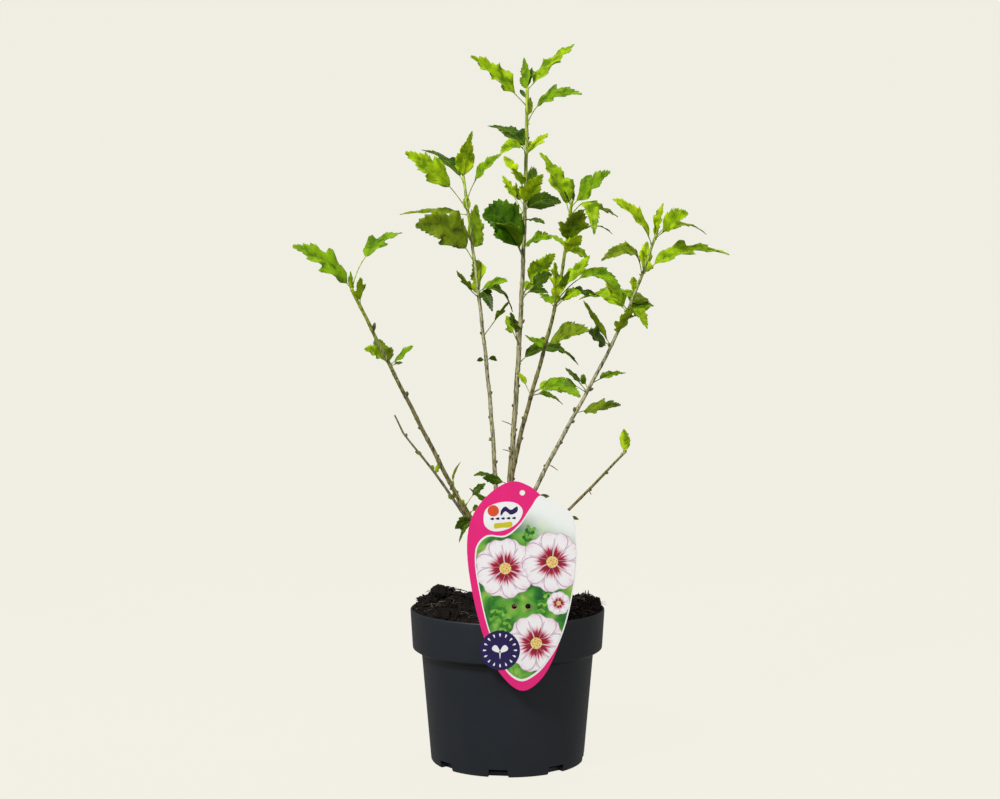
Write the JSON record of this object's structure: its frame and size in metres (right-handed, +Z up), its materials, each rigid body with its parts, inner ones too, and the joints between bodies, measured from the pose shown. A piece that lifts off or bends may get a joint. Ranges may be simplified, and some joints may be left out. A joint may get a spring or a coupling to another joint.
{
  "type": "rose of sharon",
  "caption": "Young potted rose of sharon: slender upright shoots with lobed green leaves, in a round nursery pot with a hook-on care label.",
  "frame": {"origin": "centre of the flat underside of the pot, where it stands on the ground", "axes": "+Z up along the pot's axis; the care label hangs on the front, towards -Y; +X is to the right seen from the front"},
  "size_m": [0.4207, 0.2683, 0.6993],
  "materials": {
    "pot_plastic": "satin",
    "potting_soil": "matt",
    "label_plastic": "gloss",
    "bark": "matt",
    "dead_wood": "matt",
    "foliage": "satin"
  },
  "bodies": {
    "root": {"pot": "pot_plastic", "soil": "potting_soil", "label": "label_plastic", "trunk": "bark", "shoot_far_left": "bark", "shoot_left": "bark", "shoot_centre": "bark", "shoot_right_centre": "bark", "shoot_right": "bark", "shoot_low_right": "bark", "shoot_low_left": "bark", "dead_twig": "dead_wood", "foliage_far_left": "foliage", "foliage_left": "foliage", "foliage_centre": "foliage", "foliage_right_centre": "foliage", "foliage_right": "foliage", "foliage_low_right": "foliage", "foliage_low_left": "foliage"}
  },
  "joints": []
}
